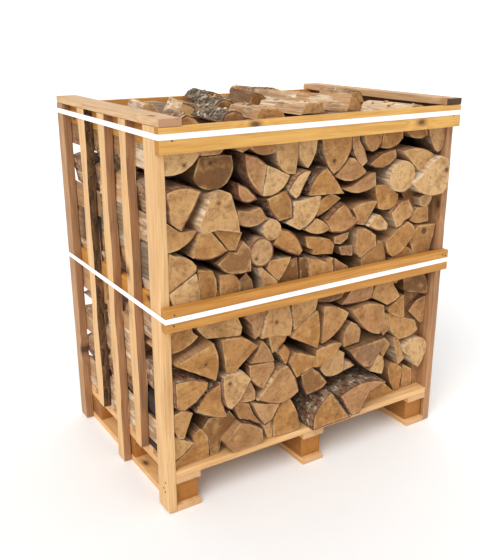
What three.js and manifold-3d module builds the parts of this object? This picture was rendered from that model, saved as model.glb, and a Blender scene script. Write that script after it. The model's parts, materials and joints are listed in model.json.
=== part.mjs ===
// A slatted pallet crate of split firewood, banded by two straps.
// Millimetres, +Z up, front towards -Y. The origin is on the floor under the middle of the crate.

import * as THREE from 'three';
import { mergeVertices } from 'three/addons/utils/BufferGeometryUtils.js';
import Module from 'manifold-3d';

const wasm = await Module();
wasm.setup();

// Crate
const WIDTH = 1120; // over the outer faces of the posts, along X
const DEPTH = 770; // over the front and back edges of the posts, along Y
const RAIL_TOP = 1200; // height of the posts and of the upper rails
const GAP = 0.3; // left between pieces that touch
const SIDE_THICK = 28; // posts and slats, along X
const POST_WIDE = { front: 72, back: 58 }; // corner posts, along Y
const POST_CLEAR = 4; // the posts end just above the floor
const RAIL_THICK = 27;
const RAIL_HIGH = 72;
const MIDDLE_RAIL_LOW = 622;
const INNER_RAIL_THICK = 22;
const INNER_RAIL_HIGH = 64;
const INNER_RAIL_RAISE = 4; // of the middle inner rails above the middle rails' lower edge
const CAP_WIDE = 70;
const CAP_THICK = 22;

// The boards between the corner posts of each side: name, middle along Y, width, foot height
const DECK_TOP = 144;
const SLAT_LAP = 4; // the slats end just below the top of the deck
const SLAT_FOOT = DECK_TOP - SLAT_LAP;
const SIDE_BOARDS = [
  { name: 'slat_front', middle: 213, wide: 52, foot: SLAT_FOOT },
  { name: 'post_middle', middle: 375, wide: 50, foot: POST_CLEAR },
  { name: 'slat_back', middle: 542, wide: 54, foot: SLAT_FOOT },
];
// Waney edges: how far a board's edge wanders, and over what height
const WANE = 5;
const WANE_LENGTH = 430;
const WANE_STEPS = 9;

// Pallet
const BOARD_THICK = 22;
const BLOCK = { wide: 82, deep: 120, high: 78 };
const BLOCK_SET_BACK = 16; // of the outer blocks from the ends of the runners
const RUNNER_WIDE = 86;
const DECK_BOARDS = 5;
const DECK_BOARD_WIDE = 98;

// Straps
const STRAP_WIDE = 16;
const STRAP_THICK = 0.8;
const STRAP_CORNER = 3;
const STRAP_CORNER_STEPS = 2;
const STRAP_MIDDLES = { upper: 1175, middle: 659 };

// Firewood: three rows of logs, one behind another
const LOG_LENGTH = 242;
const ROW_START = 4; // mean set-back of the log ends from the posts' front edges
const BACK_FACE = DEPTH - RAIL_THICK - GAP; // the inner face of the back rails
const LOG_SIDE_GAP = 2; // between the logs and the side panels
const CORE_INSET = { side: 4, low: 3, high: 64, end: 60 };
const ROW_STARTS = [ROW_START, (BACK_FACE - LOG_LENGTH) / 2, BACK_FACE - ROW_START - LOG_LENGTH]; // along Y
const TOP_LOG_LENGTH = 222; // the loose logs on top
const ARC_STEPS = 3;
const DEEP_ARC = { bow: 12, steps: 4 }; // bark sides that bow more than this
const ROUND_STEPS = 10;

const COLOURS = {
  rail: { color: 0xd9a04f, roughness: 0.6, metalness: 0 },
  slat: { color: 0xdcb583, roughness: 0.7, metalness: 0 },
  pallet: { color: 0xd8ac6d, roughness: 0.7, metalness: 0 },
  log: { color: 0xb98d57, roughness: 0.85, metalness: 0 },
  strap: { color: 0xf2f3f4, roughness: 0.35, metalness: 0 },
};

// A round log's outline
function round(x, z, radiusX, radiusZ) {
  return Array.from({ length: ROUND_STEPS }, (_, i) => {
    const turn = (2 * Math.PI * i) / ROUND_STEPS;
    return [x + radiusX * Math.cos(turn), z + radiusZ * Math.sin(turn)];
  });
}

// The log ends of the front row, seen from the front. Each entry is how far the end is set back
// from the posts' front edges (negative stands proud), then its corners [x, z] in order, x from the
// crate's left face and z from the floor. A third value bows the edge to the next corner outward:
// the bark side of a split log.
const LOG_ENDS = [
  // Upper bay, top course, under and behind the upper rail
  [5, [50, 1168], [24, 1140], [22, 1066, 22], [145, 1124], [132, 1172]],
  [20, [146, 1103], [136, 1078, 20], [160, 1013], [212, 1012, 20], [250, 1100], [205, 1104]],
  [9, [146, 1109], [204, 1109], [224, 1128], [212, 1176, 8], [140, 1174]],
  [6, [284, 1104], [330, 1090], [362, 1066], [345, 974, 20]],
  [2, [366, 1062], [441, 1027, 20], [349, 974]],
  [3, [262, 1180, 6], [256, 1120], [276, 1108], [302, 1120, 18], [396, 1106], [390, 1182, 10]],
  [7, [400, 1186], [399, 1105, 14], [440, 1030], [465, 1027], [475, 1090], [472, 1180, 8]],
  [4, [478, 1174], [478, 1095, 6], [510, 1041, 3], [541, 1095], [548, 1178, 10]],
  [-8, [432, 984], [461, 955], [472, 962], [495, 1005], [513, 1034], [496, 1037], [462, 1022]],
  [-4, [512, 957], [648, 949], [618, 992], [580, 1037, 14]],
  [3, [556, 1186], [566, 1100], [585, 1046], [612, 1010, 14], [680, 1095], [668, 1192, 8]],
  [2, [742, 1006], [690, 1054], [676, 1056], [620, 1003, 20]],
  [7, [684, 1180], [685, 1088], [702, 1050], [728, 1024], [750, 1040], [735, 1080], [714, 1110], [712, 1172]],
  [3, [722, 1172], [733, 1106, 34], [802, 1100], [798, 1170, 8]],
  [6, [812, 1164], [806, 1077, 14], [898, 1102], [888, 1160, 8]],
  [-3, [750, 1030], [800, 1060], [858, 1070], [863, 1042, 22]],
  [-12, ...round(889, 978, 57, 51)],
  [-5, [888, 1062], [985, 976], [1038, 1037, 16]],
  [10, [900, 1156], [914, 1120, 16], [1012, 1102], [1000, 1162, 8]],
  [6, [1006, 1158], [1012, 1112], [1050, 1048], [1066, 1038, 10], [1094, 1085], [1088, 1138], [1070, 1158]],
  [-28, [925, 954], [962, 972], [1012, 1018], [1050, 1034], [1084, 1018], [1090, 930], [1066, 906],
    [1018, 902], [946, 930]],

  // Upper bay, middle courses
  [2, [25, 1020, 14], [142, 1012], [112, 960], [74, 908], [46, 930], [40, 968], [25, 1000]],
  [-14, [134, 893], [182, 898], [256, 881], [250, 926], [228, 998], [205, 1007], [165, 996], [122, 916]],
  [10, [263, 1022], [300, 1002], [333, 965, 36]],
  [6, [260, 940], [300, 932], [341, 940], [368, 900, 16], [260, 900]],
  [1, [361, 962], [432, 981], [453, 945], [453, 896], [404, 892, 10]],
  [-6, [457, 944], [555, 951, 22], [478, 854], [432, 880], [457, 894]],
  [12, [555, 883], [559, 922], [585, 940], [618, 946], [651, 929], [600, 899]],
  [5, [652, 960], [690, 964], [740, 988], [784, 1000], [789, 958, 18]],
  [14, [794, 952], [838, 952], [900, 912], [898, 884, 14], [812, 876], [806, 902]],
  [8, [698, 888], [735, 902], [803, 902], [780, 868], [748, 829], [718, 836], [714, 864]],
  [-6, [580, 868], [624, 905], [650, 917], [668, 902], [690, 868], [712, 850, 16], [606, 828]],
  [-2, [545, 880], [572, 866], [601, 838, 14], [502, 850]],
  [11, [512, 824], [570, 812], [608, 800], [630, 778], [622, 750], [545, 760], [545, 778], [520, 788]],
  [16, [632, 804], [692, 812], [686, 790], [660, 775], [634, 781]],
  [-6, [756, 826], [782, 856], [806, 857], [842, 822], [838, 803], [800, 804]],
  [4, [866, 856], [902, 890], [936, 895], [964, 852], [950, 828], [932, 823], [912, 800], [892, 798]],
  [22, [968, 812], [1000, 852], [1052, 852], [1060, 798], [1002, 796]],
  [16, [998, 888], [1030, 896], [1064, 886, 18], [1012, 858]],
  [46, [930, 922], [1092, 930], [1092, 790], [1062, 800], [1056, 850], [985, 856]],

  // Upper bay, lower courses, down behind the middle rail
  [6, [25, 936], [48, 920], [74, 902], [128, 898, 14], [25, 849]],
  [0, [130, 891], [167, 893], [221, 827, 14], [108, 822]],
  [6, [180, 892], [275, 873], [252, 822], [228, 826]],
  [-8, [183, 792], [226, 822], [250, 818], [270, 851], [296, 822], [298, 753], [238, 753], [201, 770]],
  [-3, ...round(339, 804, 42, 45)],
  [4, ...round(382, 866, 31, 32)],
  [3, [389, 818], [414, 864], [446, 855, 8], [496, 786], [482, 769], [438, 786]],
  [6, [372, 770], [455, 767], [436, 732], [409, 699], [400, 706], [366, 742]],
  [3, [328, 754], [342, 755], [404, 698], [398, 662], [352, 662], [350, 706]],
  [5, [25, 744], [25, 822], [34, 845], [62, 832, 8], [121, 796], [119, 779], [30, 732]],
  [2, [26, 725], [120, 771, 10], [122, 658], [50, 658]],
  [7, [127, 781], [174, 772, 14], [172, 662], [134, 660]],
  [8, [199, 700], [202, 752], [244, 748, 8], [270, 700], [262, 656], [206, 656]],
  [16, [177, 660], [179, 708], [190, 714], [198, 698], [200, 660]],
  [24, [275, 658], [276, 720], [300, 740], [322, 712], [334, 660]],
  [20, [414, 658], [418, 702], [454, 752], [486, 758], [495, 702], [490, 660]],
  [14, [494, 756], [515, 755], [530, 702], [528, 660], [500, 660]],
  [3, [519, 755], [552, 751], [596, 732], [620, 737], [628, 700], [624, 656], [536, 656]],
  [9, [632, 733], [652, 720], [692, 694], [680, 658], [634, 658]],
  [18, [655, 765], [712, 765], [712, 728], [664, 738]],
  [2, [714, 824], [752, 820], [797, 790], [801, 750], [738, 719], [718, 738]],
  [5, [742, 715], [802, 746], [814, 766], [834, 760], [849, 700], [846, 660], [742, 658]],
  [-3, [840, 758], [896, 794], [944, 814], [967, 796], [974, 778], [950, 744], [912, 714], [872, 703],
    [852, 722]],
  [12, [880, 658], [890, 702], [930, 721], [958, 719], [984, 698], [992, 658]],
  [10, [958, 752], [1004, 790], [1084, 786], [1082, 755], [1064, 704], [1056, 658], [1002, 658]],

  // Lower bay, top courses, up behind the middle rail
  [10, [50, 638], [26, 620], [26, 540], [60, 542], [98, 557], [122, 575], [104, 592], [98, 644]],
  [4, [124, 644], [119, 598], [150, 562], [200, 555], [266, 548], [274, 572], [256, 610], [252, 646]],
  [8, [287, 600], [312, 572], [321, 520], [342, 530], [357, 580], [372, 612], [368, 644], [292, 642]],
  [2, [345, 517], [398, 519], [456, 504], [460, 556], [447, 612], [440, 646], [382, 646], [363, 590]],
  [5, [462, 642], [463, 590], [473, 519], [486, 521], [556, 573], [563, 600], [556, 640]],
  [18, [572, 646], [577, 590], [634, 580], [676, 587], [692, 614], [686, 644]],
  [3, [664, 566], [702, 608], [708, 640], [798, 640], [806, 590], [797, 563], [760, 558]],
  [6, [804, 562], [816, 600], [826, 644], [884, 644], [900, 590], [930, 545], [912, 531], [876, 522]],
  [14, [904, 642], [904, 600], [914, 593], [934, 606], [930, 642]],
  [22, [958, 636], [964, 556], [976, 547], [1086, 520], [1080, 566], [1060, 600], [1052, 634]],
  [-10, [36, 506], [166, 547, 14], [170, 425]],
  [-2, [199, 546], [268, 541], [327, 499], [268, 451], [246, 431], [215, 431]],
  [-7, [457, 497], [474, 515], [557, 570, 8], [561, 438]],
  [-5, [587, 577], [642, 565], [689, 536, 16], [582, 447]],
  [-14, [700, 540], [770, 553], [842, 532], [846, 470], [826, 432], [796, 440], [756, 470]],
  [6, [687, 406], [683, 440], [693, 470], [714, 492], [742, 474], [756, 450], [750, 412]],
  [9, [882, 502], [934, 534], [957, 541], [963, 459], [944, 461], [886, 490]],
  [35, [1010, 462], [1044, 498], [1092, 506], [1092, 404], [1076, 400]],
  [50, [985, 470], [1000, 560], [1092, 560], [1092, 340], [1030, 345], [1000, 380]],

  // Lower bay, middle courses
  [-12, [26, 452], [92, 449], [140, 428], [138, 404], [101, 373], [58, 353, 8], [26, 384]],
  [-6, [100, 332, 16], [190, 410], [193, 350], [211, 285], [196, 283]],
  [-12, [194, 427], [268, 429], [297, 396, 10], [224, 309], [207, 322], [195, 360]],
  [6, [246, 322], [272, 350], [299, 386], [323, 338], [321, 309], [288, 309]],
  [3, [304, 442], [350, 508, 6], [393, 429]],
  [8, [300, 431], [393, 425], [399, 402], [372, 364], [352, 336], [329, 353], [301, 394]],
  [-4, [328, 306], [374, 356], [415, 401], [444, 399, 8], [489, 298, 10], [408, 273]],
  [14, [378, 511], [398, 515], [450, 500], [440, 483], [402, 457], [393, 452]],
  [5, [403, 456], [432, 477], [452, 460], [461, 441], [448, 405], [436, 401], [420, 430]],
  [-6, [453, 404], [469, 443], [500, 431], [559, 404], [574, 363], [540, 371], [479, 351]],
  [2, [563, 404], [566, 424], [640, 433], [671, 424], [640, 391], [586, 357], [577, 364]],
  [8, [586, 350], [637, 387], [664, 399], [689, 383], [687, 317, 10], [607, 319]],
  [12, [693, 313], [698, 350], [716, 347], [741, 322]],
  [-8, [693, 396], [862, 403], [873, 380], [838, 350], [798, 308], [770, 314], [706, 380]],
  [10, [851, 498], [882, 486], [894, 426], [864, 406], [850, 434]],
  [16, [896, 482], [970, 450], [1024, 428], [1040, 390], [1012, 374], [952, 370], [908, 416]],
  [10, [853, 360], [881, 390], [902, 366], [872, 320]],
  [-4, [800, 290], [836, 346], [858, 330], [866, 296], [857, 264]],
  [-4, [500, 351], [544, 368], [573, 345], [608, 298], [587, 281], [548, 274], [523, 272], [506, 310]],
  [25, [930, 380], [955, 374], [992, 280], [966, 260]],
  [12, [978, 330], [1018, 355], [1066, 349], [1092, 328], [1092, 292], [1056, 234], [1022, 268],
    [1010, 290], [986, 308]],

  // Lower bay, bottom course, on the deck
  [4, [26, 338], [62, 347], [95, 328], [74, 280], [62, 251], [46, 254, 6]],
  [12, [26, 260], [56, 244], [99, 218], [66, 189], [26, 172]],
  [18, [28, 147], [30, 165], [70, 185], [103, 212], [102, 240], [126, 258], [151, 222], [157, 147]],
  [20, [132, 250], [160, 284], [214, 270], [234, 288], [258, 254], [206, 196], [192, 147], [164, 147],
    [158, 200]],
  [-8, [200, 194], [260, 249], [296, 235], [344, 200], [350, 147], [236, 147], [215, 166]],
  [10, [242, 318], [262, 319], [300, 301], [320, 254], [352, 206], [330, 218], [298, 240], [266, 254]],
  [4, [308, 300], [356, 283], [420, 265], [404, 245], [385, 216], [356, 210], [326, 256]],
  [12, [360, 196], [391, 206], [395, 147], [376, 147]],
  [4, [398, 147], [400, 216], [437, 270], [463, 270, 8], [502, 147]],
  [-30, [533, 147], [535, 190, 10], [611, 270], [639, 230], [701, 147]],
  [-26, [650, 240, 28], [864, 240], [788, 218], [744, 147], [708, 147]],
  [30, [792, 190], [846, 202], [900, 206], [960, 147], [800, 147]],
  [35, [925, 256], [940, 272], [986, 246], [1000, 226], [990, 147], [968, 147], [938, 200]],
  [44, [1008, 244], [1054, 214], [1062, 180], [1058, 147], [1010, 147]],
  [48, [1064, 232], [1092, 276], [1092, 147], [1068, 147]],
];

// Loose logs on top: sections lie flat side down, x and z from the middle of that side
const SECTIONS = {
  half: [[-50, 0], [50, 0, 40]],
  quarter: [[-44, 0], [46, 0, 14], [-16, 54]],
  wedge: [[-38, 0], [40, 0], [20, 36, 8], [-26, 46]],
  pole: [[-18, 0], [18, 0, 8], [24, 30, 15], [-24, 30, 8]],
  billet: [[-54, 0], [54, 0], [42, 28, 8], [-38, 34]],
};
// Middle along X and Y, section and turn about the vertical in degrees, from the front to the back
const TOP_LOGS = [
  { x: 147, y: 150, section: 'half', turn: -13 },
  { x: 270, y: 131, section: 'half', turn: -7 },
  { x: 397, y: 131, section: 'billet', turn: -8 },
  { x: 530, y: 131, section: 'billet', turn: 4 },
  { x: 670, y: 131, section: 'quarter', turn: 14 },
  { x: 962, y: 131, section: 'billet', turn: 5 },
  { x: 150, y: 392, section: 'wedge', turn: -11 },
  { x: 272, y: 374, section: 'quarter', turn: -16 },
  { x: 394, y: 372, section: 'half', turn: -12 },
  { x: 520, y: 372, section: 'quarter', turn: -12 },
  { x: 655, y: 372, section: 'quarter', turn: 10 },
  { x: 790, y: 372, section: 'billet', turn: 4 },
  { x: 920, y: 366, section: 'wedge', turn: -8 },
  { x: 488, y: 614, section: 'half', turn: -10 },
  { x: 700, y: 614, section: 'pole', turn: 8 },
];

const crate = new THREE.Group();

function add(name, geometry, finish, parent = crate) {
  const mesh = new THREE.Mesh(geometry, new THREE.MeshStandardMaterial(COLOURS[finish]));
  mesh.name = name;
  parent.add(mesh);
  return mesh;
}

// A plain board between two corners
function board(name, low, high, finish) {
  const size = high.map((value, axis) => value - low[axis]);
  const mesh = add(name, new THREE.BoxGeometry(...size), finish);
  mesh.position.set(...low.map((value, axis) => value + size[axis] / 2));
}

// The outline of a log end: corners with bowed edges filled in, kept between the side panels
function logOutline(corners) {
  const points = corners.map(([x, z]) => new THREE.Vector2(x, z));
  const outward = THREE.ShapeUtils.isClockWise(points) ? -1 : 1;
  return corners.flatMap(([, , bow = 0], i) => {
    const start = points[i];
    const along = points[(i + 1) % points.length].clone().sub(start);
    const normal = new THREE.Vector2(along.y, -along.x).normalize().multiplyScalar(outward * bow);
    const arcSteps = bow > DEEP_ARC.bow ? DEEP_ARC.steps : ARC_STEPS;
    return Array.from({ length: bow ? arcSteps : 1 }, (_, step) => {
      const t = step / arcSteps;
      return start.clone().addScaledVector(along, t).addScaledVector(normal, 4 * t * (1 - t));
    });
  });
}

// A bar of the given outline (x, z), from y = start to y = end
function bar(outline, start, end) {
  const geometry = new THREE.ExtrudeGeometry(new THREE.Shape(outline), {
    depth: end - start,
    bevelEnabled: false,
  });
  geometry.rotateX(Math.PI / 2);
  return geometry.translate(0, end, 0);
}

function toSolid(geometry) {
  const bare = geometry.clone();
  bare.deleteAttribute('normal');
  bare.deleteAttribute('uv');
  const merged = mergeVertices(bare);
  return new wasm.Manifold(new wasm.Mesh({
    numProp: 3,
    vertProperties: merged.attributes.position.array,
    triVerts: new Uint32Array(merged.index.array),
  }));
}

function toGeometry(solid) {
  const { vertProperties, triVerts } = solid.getMesh();
  const geometry = new THREE.BufferGeometry();
  geometry.setAttribute('position', new THREE.BufferAttribute(vertProperties, 3));
  geometry.setIndex(new THREE.BufferAttribute(triVerts, 1));
  return geometry;
}

function boxSolid(low, high) {
  const size = high.map((value, axis) => value - low[axis]);
  const middle = low.map((value, axis) => value + size[axis] / 2);
  return toSolid(new THREE.BoxGeometry(...size).translate(...middle));
}

// Pallet: runners on the floor, blocks, stringers and deck boards
const palletLeft = SIDE_THICK + GAP;
const palletRight = WIDTH - palletLeft;
const blockLow = BOARD_THICK + GAP;
const stringerLow = blockLow + BLOCK.high;
const deckLow = DECK_TOP - BOARD_THICK;

const columns = { left: palletLeft, middle: (WIDTH - RUNNER_WIDE) / 2, right: palletRight - RUNNER_WIDE };
const lines = {
  front: BLOCK_SET_BACK,
  middle: (DEPTH - BLOCK.deep) / 2,
  back: DEPTH - BLOCK.deep - BLOCK_SET_BACK,
};
for (const [column, x] of Object.entries(columns)) {
  board(`runner_${column}`, [x, 0, 0], [x + RUNNER_WIDE, DEPTH, BOARD_THICK], 'pallet');
  const blockX = x + (RUNNER_WIDE - BLOCK.wide) / 2;
  for (const [line, y] of Object.entries(lines)) {
    const high = [blockX + BLOCK.wide, y + BLOCK.deep, blockLow + BLOCK.high - GAP];
    board(`block_${line}_${column}`, [blockX, y, blockLow], high, 'pallet');
  }
  board(`stringer_${column}`, [x, 0, stringerLow], [x + RUNNER_WIDE, DEPTH, deckLow - GAP], 'pallet');
}
const deckPitch = (DEPTH - DECK_BOARD_WIDE) / (DECK_BOARDS - 1);
for (let i = 0; i < DECK_BOARDS; i += 1) {
  const y = i * deckPitch;
  const high = [palletRight, y + DECK_BOARD_WIDE, DECK_TOP];
  board(`deck_board_${i + 1}`, [palletLeft, y, deckLow], high, 'pallet');
}

// Side panels: posts and slats with waney edges, inner rails and a cap
function waneyBoard(middle, wide, foot, phase) {
  const high = RAIL_TOP - foot;
  const edge = (side, step) => {
    const z = foot + (high * step) / WANE_STEPS;
    const wander = WANE * Math.sin((2 * Math.PI * z) / WANE_LENGTH + phase + side);
    return new THREE.Vector2(middle + (side * wide) / 2 + wander, z);
  };
  const steps = Array.from({ length: WANE_STEPS + 1 }, (_, step) => step);
  const outline = [...steps.map((step) => edge(1, step)), ...steps.reverse().map((step) => edge(-1, step))];
  const geometry = new THREE.ExtrudeGeometry(new THREE.Shape(outline), {
    depth: SIDE_THICK,
    bevelEnabled: false,
  });
  // The outline's own axes become Y and Z, and its depth runs along X
  return geometry.applyMatrix4(new THREE.Matrix4().set(0, 0, 1, 0, 1, 0, 0, 0, 0, 1, 0, 0, 0, 0, 0, 1));
}

const innerRailLows = { upper: RAIL_TOP - INNER_RAIL_HIGH, middle: MIDDLE_RAIL_LOW + INNER_RAIL_RAISE };
const sides = {
  left: { outer: 0, innerRail: SIDE_THICK + GAP, cap: 0, phase: 0 },
  right: {
    outer: WIDTH - SIDE_THICK,
    innerRail: WIDTH - SIDE_THICK - GAP - INNER_RAIL_THICK,
    cap: WIDTH - CAP_WIDE,
    phase: 2,
  },
};
const innerRails = [];
for (const [side, { outer, innerRail, cap, phase }] of Object.entries(sides)) {
  for (const [line, y] of Object.entries({ front: 0, back: DEPTH - POST_WIDE.back })) {
    const high = [outer + SIDE_THICK, y + POST_WIDE[line], RAIL_TOP];
    board(`${side}_post_${line}`, [outer, y, POST_CLEAR], high, 'slat');
  }
  SIDE_BOARDS.forEach(({ name, middle, wide, foot }, i) => {
    const mesh = add(`${side}_${name}`, waneyBoard(middle, wide, foot, phase + i), 'slat');
    mesh.position.x = outer;
  });
  for (const [level, z] of Object.entries(innerRailLows)) {
    const low = [innerRail, GAP, z];
    const high = [innerRail + INNER_RAIL_THICK, BACK_FACE, z + INNER_RAIL_HIGH];
    board(`${side}_inner_rail_${level}`, low, high, 'rail');
    innerRails.push([low.map((value) => value - GAP), high.map((value) => value + GAP)]);
  }
  const capLow = RAIL_TOP + GAP;
  const capHigh = [cap + CAP_WIDE, DEPTH, capLow + CAP_THICK];
  board(`${side}_cap`, [cap, -RAIL_THICK, capLow], capHigh, 'slat');
}

// Rails: across the posts at the front, and between the posts at the back
const railLows = { upper: RAIL_TOP - RAIL_HIGH, middle: MIDDLE_RAIL_LOW };
const backRailLeft = SIDE_THICK + GAP;
for (const [level, z] of Object.entries(railLows)) {
  board(`front_rail_${level}`, [0, -RAIL_THICK, z], [WIDTH, -GAP, z + RAIL_HIGH], 'rail');
  const backHigh = [WIDTH - backRailLeft, DEPTH, z + RAIL_HIGH];
  board(`back_rail_${level}`, [backRailLeft, DEPTH - RAIL_THICK, z], backHigh, 'rail');
}

// Straps: flat bands drawn tight round the rails and the side panels
function roundedLoop(shape, grow, corner) {
  const [left, right] = [-grow, WIDTH + grow];
  const [front, back] = [-RAIL_THICK - grow, DEPTH + grow];
  shape.moveTo(left + corner, front);
  shape.absarc(right - corner, front + corner, corner, -Math.PI / 2, 0);
  shape.absarc(right - corner, back - corner, corner, 0, Math.PI / 2);
  shape.absarc(left + corner, back - corner, corner, Math.PI / 2, Math.PI);
  shape.absarc(left + corner, front + corner, corner, Math.PI, 1.5 * Math.PI);
  return shape;
}

for (const [level, z] of Object.entries(STRAP_MIDDLES)) {
  const slack = STRAP_CORNER * (1 - Math.SQRT1_2);
  const band = roundedLoop(new THREE.Shape(), slack + STRAP_THICK, STRAP_CORNER + STRAP_THICK);
  band.holes.push(roundedLoop(new THREE.Path(), slack, STRAP_CORNER));
  const geometry = new THREE.ExtrudeGeometry(band, {
    depth: STRAP_WIDE,
    bevelEnabled: false,
    curveSegments: STRAP_CORNER_STEPS,
  });
  add(`strap_${level}`, geometry, 'strap').position.z = z - STRAP_WIDE / 2;
}

// Rows of logs: the packed mass of a row, with every log end at its own set-back
const inside = { left: SIDE_THICK + LOG_SIDE_GAP, right: WIDTH - SIDE_THICK - LOG_SIDE_GAP };
const logs = LOG_ENDS.map(([setBack, ...corners]) => ({
  setBack,
  outline: logOutline(corners).map(({ x, y }) =>
    new THREE.Vector2(THREE.MathUtils.clamp(x, inside.left, inside.right), y)),
}));

function logRow(endFace, coreEnd) {
  const back = ROW_START + LOG_LENGTH;
  const core = boxSolid(
    [inside.left + CORE_INSET.side, coreEnd, DECK_TOP + CORE_INSET.low],
    [inside.right - CORE_INSET.side, back, RAIL_TOP - CORE_INSET.high],
  );
  let row = core;
  for (const { setBack, outline } of logs) {
    row = row.add(toSolid(bar(outline, endFace(setBack), back - GAP)));
  }
  for (const [low, high] of innerRails) {
    row = row.subtract(boxSolid(low, high));
  }
  return row;
}

const mirrorX = new THREE.Matrix4().makeScale(-1, 1, 1).setPosition(WIDTH, 0, 0);
const mirrorY = new THREE.Matrix4().makeScale(1, -1, 1).setPosition(0, BACK_FACE, 0);

// A mirrored copy, with each triangle's corners put back in order
function mirrored(geometry, mirror) {
  const copy = geometry.clone().applyMatrix4(mirror);
  const index = copy.index.array;
  for (let i = 0; i < index.length; i += 3) {
    [index[i + 1], index[i + 2]] = [index[i + 2], index[i + 1]];
  }
  return copy;
}

const endRow = toGeometry(logRow((setBack) => setBack, CORE_INSET.end));
const middleRow = toGeometry(logRow(() => ROW_START + GAP, ROW_START));
add('log_row_front', endRow, 'log');
const middleRowMesh = add('log_row_middle', mirrored(middleRow, mirrorX), 'log');
middleRowMesh.position.y = ROW_STARTS[1] - ROW_START;
add('log_row_back', mirrored(endRow, mirrorY), 'log');

// The highest of the row logs under a loose log
function rowTop({ min, max }) {
  const tops = ROW_STARTS.flatMap((start, row) => logs.map(({ outline }) => {
    const across = outline.map(({ x }) => (row === 1 ? WIDTH - x : x));
    const beside = Math.min(...across) > max.x || Math.max(...across) < min.x;
    const apart = start > max.y || start + LOG_LENGTH < min.y;
    return beside || apart ? 0 : Math.max(...outline.map(({ y }) => y));
  }));
  return Math.max(...tops);
}

TOP_LOGS.forEach(({ x, y, section, turn }, i) => {
  const outline = logOutline(SECTIONS[section]);
  const geometry = bar(outline, -TOP_LOG_LENGTH / 2, TOP_LOG_LENGTH / 2);
  const log = add(`top_log_${String(i + 1).padStart(2, '0')}`, geometry, 'log');
  log.position.set(x, y, 0);
  log.rotation.z = THREE.MathUtils.degToRad(turn);
  log.position.z = rowTop(new THREE.Box3().setFromObject(log)) + GAP;
});

const middle = new THREE.Box3().setFromObject(crate).getCenter(new THREE.Vector3());
crate.position.set(-middle.x, -middle.y, 0);

export default new THREE.Group().add(crate);
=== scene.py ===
# A slatted pallet crate of split firewood, dressed round its solids.
# Metres, +Z up, front towards -Y.

import json
import math
import random

import bmesh
import bpy
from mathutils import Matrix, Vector, noise


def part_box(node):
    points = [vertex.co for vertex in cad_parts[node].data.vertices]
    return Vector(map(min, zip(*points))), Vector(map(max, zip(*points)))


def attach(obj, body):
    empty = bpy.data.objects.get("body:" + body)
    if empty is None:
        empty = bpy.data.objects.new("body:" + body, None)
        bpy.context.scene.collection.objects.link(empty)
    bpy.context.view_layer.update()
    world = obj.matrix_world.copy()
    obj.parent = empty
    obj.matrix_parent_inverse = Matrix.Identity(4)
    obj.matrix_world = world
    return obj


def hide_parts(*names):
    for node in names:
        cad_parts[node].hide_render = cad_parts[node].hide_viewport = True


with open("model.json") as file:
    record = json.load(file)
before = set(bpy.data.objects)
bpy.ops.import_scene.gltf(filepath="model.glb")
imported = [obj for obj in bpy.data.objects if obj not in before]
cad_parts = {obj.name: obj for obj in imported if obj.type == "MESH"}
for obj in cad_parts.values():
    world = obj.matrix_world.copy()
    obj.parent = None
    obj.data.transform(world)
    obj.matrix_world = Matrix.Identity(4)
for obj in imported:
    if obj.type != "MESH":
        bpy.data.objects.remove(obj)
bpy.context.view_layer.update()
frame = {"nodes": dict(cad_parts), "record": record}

ACROSS = Vector((1, 0, 0))
FORWARD = Vector((0, 1, 0))
UP = Vector((0, 0, 1))
MM = 0.001

# Camera
CAMERA_PLACE = Vector((-1.399, -2.1584, 1.452))
CAMERA_AZIMUTH = math.radians(-32.475)
CAMERA_ELEVATION = math.radians(18.987)
CAMERA_LENS = 47.7  # millimetres, on the usual 36 mm sensor

# Studio
SKY = 0.58
SUNS = [
    {"name": "key", "way": (-0.62, -0.45, 0.72), "strength": 2.05, "spread": math.radians(40)},
    {"name": "back", "way": (0.5, 0.7, 0.6), "strength": 0.5, "spread": math.radians(60)},
]
FLOOR_PROFILE = [(2, 0), (6, 0), (8, 0.12), (9.2, 0.6), (9.8, 1.5), (10, 3), (10, 5)]
FLOOR_STEPS = 48

# Firewood
MERGE = 0.00002
LOG_DEPTH_LEAST = 0.191  # flat faces nearer than this to the back of a row are no log ends
SLIVER = 0.00015  # square metres; smaller log ends are left out
BARK_TURN = (math.radians(5), math.radians(38))  # how far a rounded side turns at each corner
BARK_SHARE = 0.4  # of the rounded sides that still have their bark
BARK_THICK = 0.0026
BARK_DEPTH = 0.0026
SPLIT_DEPTH = 0.0022  # how deep the split faces' fibres are torn
END_TILT = 0.035  # most that a saw cut is off square
END_RELIEF = 0.0011
RELIEF_PITCH = 70  # waves to a metre, on a sawn end
END_CHIP = 0.0014  # most that is chipped off the edge of a sawn end
CHIP_PITCH = 130
TILT_REACH = 0.06  # how far along a log its end's tilt is felt
LAST_STATION = 0.004  # no ring of corners lies nearer than this to a log's far end
WEAR_PITCH = 55  # waves to a metre round a log's sides
BARK_RUN = 20  # and along them
SPLIT_RUN = 5
LUMP_SHARE = 0.4  # of those pitches, for a loose log's lumps
BOW_OF_TURN = 1 / 8  # how far an arc bows, as a share of its chord, for each radian that it turns
LOG_CREASE = math.radians(38)  # sides that meet at more than this keep a sharp edge
END_SHARES = (0.9, 0.66, 0.34)  # rings on a sawn end, as shares of the way out from its middle
SWELL = 0.0013  # how far the logs in the rows swell past the outlines of their ends
RIM = 0.0006
EDGE_HIGHLIGHT_REACH = 0.007  # how far in from its edge a sawn end carries a painted highlight
SHADE_REACH = 0.09  # how far in from its end the painted shade on a log in the stack deepens
STACK_SHADE = 0.65  # how deep the painted shade on the logs inside the stack is
SIDE_REACH = 0.06  # logs nearer than this to a side panel are paler or in painted shade, light to deep
SIDE_SHADES = (-0.25, 0.2, 0.7, 0.97)
ROW_TONES = (0.3, 0.8)  # from dark to pale
ROW_GREYS = (0.0, 0.1, 0.2, 0.5)
BACK_SEEDS = 300  # added to a log's number
MIDDLE_SEEDS = 600
HEAP_SEEDS = 900
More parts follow.
